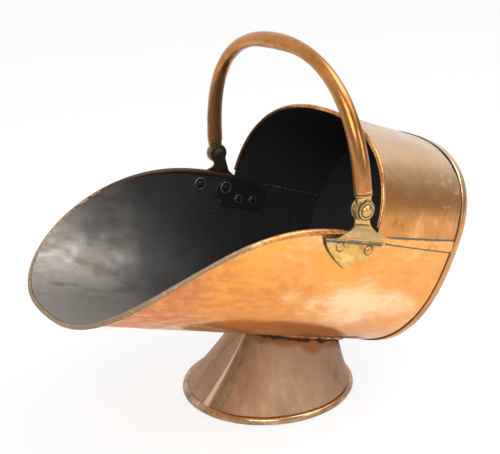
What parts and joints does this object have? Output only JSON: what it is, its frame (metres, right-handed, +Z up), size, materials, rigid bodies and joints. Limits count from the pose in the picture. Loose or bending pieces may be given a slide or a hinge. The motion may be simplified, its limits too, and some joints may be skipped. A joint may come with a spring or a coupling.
{
  "type": "coal scuttle",
  "caption": "Antique helmet coal scuttle in riveted sheet copper: long scoop lip, arched hood, flared round foot and a tubular swing bail on brass brackets.",
  "frame": {"origin": "centre of the foot on the floor", "axes": "+Z up, -Y towards the pouring lip, +X to the scuttle's left side, the near side in the picture"},
  "size_m": [0.3062, 0.4662, 0.3953],
  "materials": {
    "bright_copper": "polished sheet copper, orange-gold, with a faint lengthwise grain",
    "brown_copper": "polished sheet copper, toned brown, with small dents",
    "foot_copper": "dull brown-pink copper with soft upright streaks",
    "bail_copper": "hand-polished copper tube, browned",
    "brass": "yellow brass with green-grey verdigris in the creases",
    "dark_inside": "blackened metal inside the body, matt with soot"
  },
  "bodies": {
    "scuttle": {"bowl": "bright_copper", "rim_bead": "bright_copper", "hood": "brown_copper", "hood_bead": "brown_copper", "back_plate": "brown_copper", "side_seam_left": "bright_copper", "side_seam_right": "bright_copper", "lap_plate_left": "dark_inside", "lap_plate_right": "dark_inside", "lap_rivets_left": "dark_inside", "lap_rivets_right": "dark_inside", "foot": "foot_copper", "foot_bead": "foot_copper", "foot_collar": "foot_copper", "bracket_left": "brass", "bracket_right": "brass", "bracket_rivets_left": "brass", "bracket_rivets_right": "brass", "rivet_burrs_left": "dark_inside", "rivet_burrs_right": "dark_inside", "pivot_pin_left": "brass", "pivot_pin_right": "brass", "pivot_washer_left": "brass", "pivot_washer_right": "brass", "rear_handle": "brass", "rear_handle_rivets": "brass"},
    "bail": {"bail": "bail_copper", "bail_eye_left": "brass", "bail_eye_right": "brass"}
  },
  "joints": [
    {"name": "bail_swing", "type": "hinge", "parent": "scuttle", "child": "bail", "pos_m": [0, 0.02861, 0.23862], "axis": [1, 0, 0], "range_deg": [-70, 86]}
  ]
}
